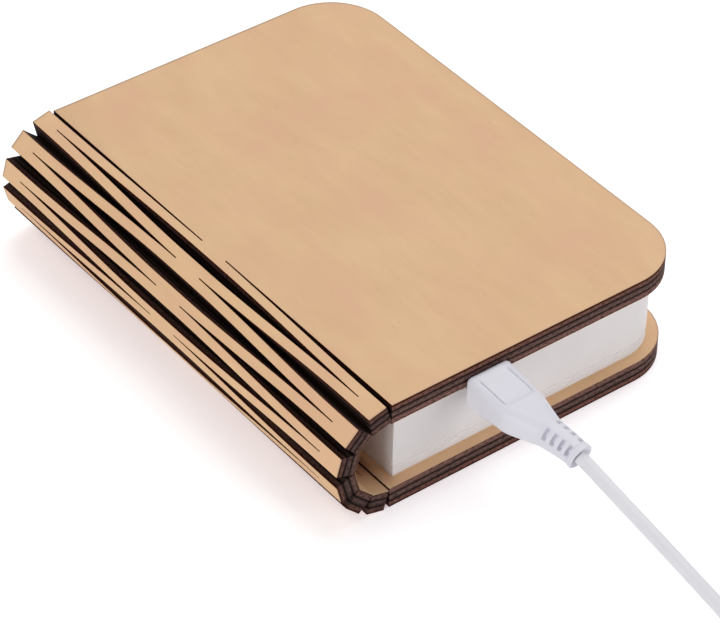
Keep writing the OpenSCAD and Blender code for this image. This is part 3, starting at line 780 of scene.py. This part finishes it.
def on_segment(j, a, y, d):
    """A point of segment j, a along the board and d out of the book, from its middle."""
    (ax, az), (ox, oz), (sx, sz) = *board_way(j), spring(j, y)
    x = (hinge_lines[j - 1][0] + hinge_lines[j][0]) / 2 + sx
    z = (hinge_lines[j - 1][1] + hinge_lines[j][1]) / 2 + sz
    return in_place(x + a * ax + d * ox, y, z + a * az + d * oz)


def body_of_segment(j):
    """The piece that segment j is: a cover at either end, slats and bridges in turn between."""
    if j in (0, hinges):
        return "back_cover" if j else "front_cover"
    return f"slat_{(j + 1) // 2}" if j % 2 else f"bridge_{j // 2}"


def strip_middle(i):
    """Where strip i lies across the flat sheet, from the front cover's edge towards the back's."""
    return -(kerf_w + strip_w / 2) - (i - 1) * flat_pitch


slat_ends = [[(0, edge_ease), (edge_ease, 0), (end_land, 0)],
             [(cover_h - end_land, 0), (cover_h - edge_ease, 0), (cover_h, edge_ease)]]
bridge_block = [[(bridge_near, 0), (bridge_far, 0)]]
for j in range(1, hinges):
    middle = (strip_middle(j) + strip_middle(j + 1)) / 2
    body = body_of_segment(j)
    segment_shape = bmesh.new()
    for run in slat_ends if j % 2 else bridge_block:
        cut_bar(segment_shape, [(y, -slat_w / 2, slat_w / 2, shy, closing(j), closing(j))
                                for y, shy in run],
                lambda a, y, d: on_segment(j, a, y, d), lambda a: middle - a)
    segment = finish_piece(body + ("_ends" if j % 2 else "_block"), segment_shape, spine_finishes)
    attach(segment, body)
    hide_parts(body)

twist_steps = 44
for i in range(1, hinges + 1):
    hinge_x, hinge_z = hinge_lines[i - 1]
    for end, from_y, to_y in (("near", end_land, bridge_near),
                              ("far", cover_h - end_land, bridge_far)):

        def twist_strip(a, y, d):
            """A point of the strip, whose turn changes gently from its slat's to its bridge's."""
            to_bridge = ease((y - from_y) / (to_y - from_y))
            share = 1 - to_bridge if i % 2 else to_bridge
            turn = radians(bend_step * (i - 1 + share))
            offset = a + (pitch - flat_pitch) / 2 * (2 * share - 1)
            sx, sz = spring(i - 1 + share, y)
            return in_place(hinge_x + sx - offset * cos(turn) - d * sin(turn), y,
                            hinge_z + sz - offset * sin(turn) + d * cos(turn))

        def strip_sides(y):
            """A strip's two sides: wider outside by the tips of the cuts, and inside elsewhere."""
            nears = [ease(abs(y - tip) / tip_long) for tip in (from_y, to_y)]
            (a, less), (b, more) = [
                (tip_gap * (1 - near), closing(i - 1) * (tip_share + (1 - tip_share) * near))
                for near in (nears if i % 2 == 0 else nears[::-1])]
            return -strip_w / 2 - a, strip_w / 2 + b, 0, less, more

        strip_shape = bmesh.new()
        strip_ys = [from_y + (to_y - from_y) * k / twist_steps for k in range(twist_steps + 1)]
        cut_bar(strip_shape, [(y, *strip_sides(y)) for y in strip_ys], twist_strip,
                lambda a: strip_middle(i) - a)
        strip = finish_piece(f"spine_strip_{i}_{end}", strip_shape, spine_finishes)
        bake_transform(strip)

# ------------------
# The paper: one long sheet of tough spun paper, folded back and forth into eleven leaves. Its two
# ends are glued to the light box and to the back cover. Each leaf has two panels that meet in a
# fold at the fore-edge, and neighbouring leaves meet in folds beside the spine.

# Spun fibres: the tangle of threads that such paper is pressed from.
spun_fibres, spun_in, spun_out = group_with(
    "spun_fibres", {"Where": "Vector", "Fineness": "Float"}, {"Fibres": "Float"})
feed(spun_fibres, spun_out, {
    "Fibres": noise_at(spun_fibres, spun_in["Where"], spun_in["Fineness"], 5, 0.65)})


def paper_finish(name, where, fineness):
    """Tough matt paper, its fibres laid over the sheet's map or over the piece."""
    finish, tree, shader = new_finish(name, 0.8, 0.2)
    fibres = place_group(tree, spun_fibres, Where=where(tree), Fineness=fineness)["Fibres"]
    feed(tree, shader, {
        "Base Color": two_toned(tree, fibres, (226, 221, 221), (236, 232, 232), 0.65),
        "Normal": raised(tree, fibres, 0.5, 0.00002)})
    return finish


leaf_paper = paper_finish("spun_paper", over_board, 6)
glued_paper = paper_finish("glued_paper", over_piece, 600)

box_near, box_x0, box_x1, box_corner = 2.8, 2.8, 76.4, 11.2
paper_t, leaf_pitch, leaf_in, box_foot = 0.1, 0.25, 0.1, 7.9
leaf_tucks = (-0.08, 0.01, -0.1, -0.09, 0, -0.1, -0.08, 0.02, -0.1, -0.09, -0.07)
leaf_top, flat_strips, bend_strips, leaf_shift = box_foot - paper_t, 20, 12, 3


def paper_panel(name, low_z, high_z, inset, tuck):
    """A thin panel with round fore-edge corners, in strips across."""
    shape = bmesh.new()
    board_map = board_layer(shape)
    x0, x1, r = box_x0 + inset, box_x1 - inset, box_corner - inset
    y0, y1 = box_near + inset + tuck, cover_h - box_near - inset - tuck
    columns = [x0 + (x1 - r - x0) * k / flat_strips for k in range(flat_strips)]
    columns += [x1 - r + r * sin(radians(90 * k / bend_strips)) for k in range(bend_strips + 1)]
    rings = []
    for x in columns:
        pull = max(0.0, x - (x1 - r))
        shy = r - sqrt(max(0.0, r * r - pull * pull))
        rings.append([in_place(x, y0 + shy, high_z), in_place(x, y1 - shy, high_z),
                      in_place(x, y1 - shy, low_z), in_place(x, y0 + shy, low_z)])
    skin_rings(shape, rings)
    for face in shape.faces:
        for loop in face.loops:
            at = loop.vert.co * 100
            loop[board_map].uv = (at.x, at.y + at.z * leaf_shift)
    return finish_piece(name, shape, [leaf_paper])


for k, tuck in enumerate(leaf_tucks, 1):
    body = body_of_segment(k)
    base = leaf_top - k * leaf_pitch
    for half, low, other in (("upper", base + leaf_pitch / 2, k - 1), ("lower", base, k + 1)):
        panel = paper_panel(f"leaf_{k}_{half}", low, low + leaf_pitch / 2, leaf_in, tuck)
        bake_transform(panel)
    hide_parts(f"leaf_{k}")

# The end sheets lie flat, glued down over their whole face.
node_finish(glued_paper, "front_end_sheet", "back_end_sheet")

# ------------------
# The light box: a white moulded tray that fills the book under the front cover, held to it by a
# ring of foam tape. A frosted window in its floor faces the paper.
tray_round, flat_angle, edge_angle = 0.0004, radians(2), radians(40)
least_edge, outside_slack = 0.0004, 0.00002
box_plastic = moulded_finish("box_plastic", (230, 225, 225), (224, 219, 219), 0.5, 1300, 0.00003)
tray_shape = bmesh.new()
tray_shape.from_mesh(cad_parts["light_box_tray"].data)
bmesh.ops.dissolve_limit(tray_shape, angle_limit=flat_angle, verts=tray_shape.verts,
                         edges=tray_shape.edges)


def on_outside(edge):
    """Whether an edge runs along the tray's outside: its foot, its rim or a spine-side corner."""
    near, far = in_place(box_x0, box_near, 0), in_place(box_x1, cover_h - box_near, 0)
    for vert in edge.verts:
        x, y = vert.co.x, abs(vert.co.y)
        past_x, past_y = x - far.x + box_corner / 1000, y - far.y + box_corner / 1000
        if past_x > 0 and past_y > 0:
            off = abs(hypot(past_x, past_y) - box_corner / 1000)
        else:
            off = min(abs(x - near.x), abs(far.x - x), abs(far.y - y))
        if off > outside_slack:
            return False
    return (edge.is_manifold and edge.calc_face_angle(0) > edge_angle
            and edge.calc_length() > least_edge)


outside_edges = [edge for edge in tray_shape.edges if on_outside(edge)]
bmesh.ops.bevel(tray_shape, geom=outside_edges, offset=tray_round, segments=3, profile=0.5,
                affect="EDGES", clamp_overlap=True)
tray = finish_piece("light_box", tray_shape, [box_plastic])
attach(tray, "front_cover")
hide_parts("light_box_tray")
node_finish(moulded_finish("foam_tape", (212, 210, 206), (196, 194, 190), 0.9, 2600, 0.00006),
            "mounting_tape")
node_finish(moulded_finish("frosted_window", (240, 240, 238), (232, 232, 231), 0.55, 2200,
                           0.00002), "diffuser")

# ------------------
# The lamp's works: the diodes under their white board, the battery stuck on its back, and the
# control board by the near wall with its chips, its magnetic switch and its charging socket.

# Copper runs: the slightly raised tracks of a circuit board, under its solder mask.
copper_runs, runs_in, runs_out = group_with(
    "copper_runs", {"Where": "Vector", "Closeness": "Float", "Mask": "Color", "Track": "Color"},
    {"Colour": "Color", "Height": "Float"})
runs = add_node(copper_runs, "TexBrick", {
    "Vector": runs_in["Where"], "Scale": runs_in["Closeness"], "Mortar Size": 0.03,
    "Color1": runs_in["Mask"], "Color2": runs_in["Mask"], "Mortar": runs_in["Track"]})
feed(copper_runs, runs_out, {"Colour": runs.outputs["Color"], "Height": runs.outputs["Fac"]})


def board_finish(name, mask, track, closeness):
    """A circuit board in the colour of its solder mask, with its tracks."""
    finish, tree, shader = new_finish(name, 0.35)
    tracks = place_group(tree, copper_runs, Where=over_piece(tree), Closeness=closeness,
                         Mask=paint(*mask), Track=paint(*track))
    feed(tree, shader, {"Base Color": tracks["Colour"],
                        "Normal": raised(tree, tracks["Height"], 0.3, 0.00003)})
    return finish


node_finish(board_finish("white_board", (232, 233, 230), (216, 219, 214), 90), "led_board")
node_finish(board_finish("green_board", (24, 92, 56), (44, 122, 76), 160), "control_board")
node_finish(moulded_finish("chip_body", (42, 42, 44), (30, 30, 32), 0.55, 3000, 0.00001),
            "controller_chips", "hall_sensor")
for node, name, light, dark, roughness, fineness, depth in (
        ("leds", "diode_lens", (246, 232, 168), (240, 222, 140), 0.3, 2500, 0.00001),
        ("battery_pad", "foam_pad", (78, 78, 80), (60, 60, 62), 0.9, 2600, 0.00005),
        ("battery_leads", "red_insulation", (178, 32, 30), (160, 24, 24), 0.45, 1800, 0.00001),
        ("led_leads", "white_insulation", (232, 232, 230), (220, 220, 218), 0.45, 1800, 0.00001)):
    node_finish(moulded_finish(name, light, dark, roughness, fineness, depth), node)
node_finish(plated_finish("battery_foil", (205, 206, 210), (182, 184, 190), 0.34,
                          (700, 700, 700)), "battery")
node_finish(plated_finish("screw_steel", (196, 196, 198), (150, 150, 154), 0.32,
                          (2500, 2500, 400)), "board_screws")
node_finish(shell_plating, "usb_socket")
node_finish(plated_finish("magnet_plating", (204, 204, 206), (184, 185, 188), 0.22,
                          (1500, 1500, 1500)),
            "front_cover_magnets", "back_cover_magnets", "trigger_magnet")

# ------------------
# The studio: a pale table that runs on behind the lamp, a large soft lamp from behind on the right,
# and two weaker ones, low on the left and low in front, in a light room.
table_half, table_drop = 3, 0.00005
# The table glows to the camera, so that it shows white where it is lit. Its glow is pink and the
# shade under it cyan, so its shadows take a painted pink tint: painted light thrown back from the
# wood.
table_tone, glow_and_bounce_tone, glow_strength, shadow_tone = (
    paint(232, 231, 232), (1, 0.78, 0.82, 1), 0.46, (0.86, 1, 1, 1))
room_strength, white_strength = 0.44, 1


def as_background(tree, output, lighting, showing):
    """Lights the lamp by one shader and shows another, also in mirrors and through clear things."""
    rays = tree.nodes.new("ShaderNodeLightPath").outputs
    share = rays["Is Camera Ray"]
    for kind in ("Is Glossy Ray", "Is Transmission Ray"):
        share = arithmetic(tree, "ADD", share, rays[kind], clamp=True)
    either = add_node(tree, "MixShader", {"Fac": share, 1: lighting, 2: showing})
    feed(tree, tree.nodes[output], {"Surface": either.outputs["Shader"]})


table_shape = bmesh.new()
bmesh.ops.create_grid(table_shape, x_segments=1, y_segments=1, size=table_half)
table_paint, table_tree, table_shader = new_finish("table_paint", 0.9, 0.1)
table_shader.inputs["Base Color"].default_value = table_tone
glow = add_node(table_tree, "Emission", {"Color": glow_and_bounce_tone, "Strength": glow_strength})
shade = add_node(table_tree, "BsdfDiffuse", {"Color": shadow_tone})
white_table = add_node(table_tree, "AddShader", {0: glow.outputs["Emission"],
                                                 1: shade.outputs["BSDF"]})
as_background(table_tree, "Material Output", table_shader.outputs["BSDF"],
              white_table.outputs["Shader"])
table = finish_piece("studio_table", table_shape, [table_paint])
table.location = (0, 0, -table_drop)

room = bpy.data.worlds.new("light_room")
room.use_nodes = True
ambient = room.node_tree.nodes["Background"]
feed(room.node_tree, ambient, {"Color": (1, 1, 1, 1), "Strength": room_strength})
backdrop = add_node(room.node_tree, "Background", {"Strength": white_strength})
as_background(room.node_tree, "World Output", ambient.outputs["Background"],
              backdrop.outputs["Background"])
bpy.context.scene.world = room

for name, at, size, power in (("soft_key", (0.7, 0.45, 1.25), 1.6, 12.2),
                              ("left_fill", (-1.45, -0.4, 0.35), 0.9, 10.8),
                              ("front_fill", (0.45, -1.05, 0.27), 0.55, 3.3)):
    lamp_light = bpy.data.lights.new(name, "AREA")
    lamp_light.shape = "DISK"
    lamp_light.size = size
    lamp_light.energy = power
    lamp = into_scene(name, lamp_light)
    lamp.location = at
    lamp.rotation_euler = (-Vector(at)).to_track_quat("-Z", "Y").to_euler()

bpy.context.scene.view_settings.view_transform = "Standard"
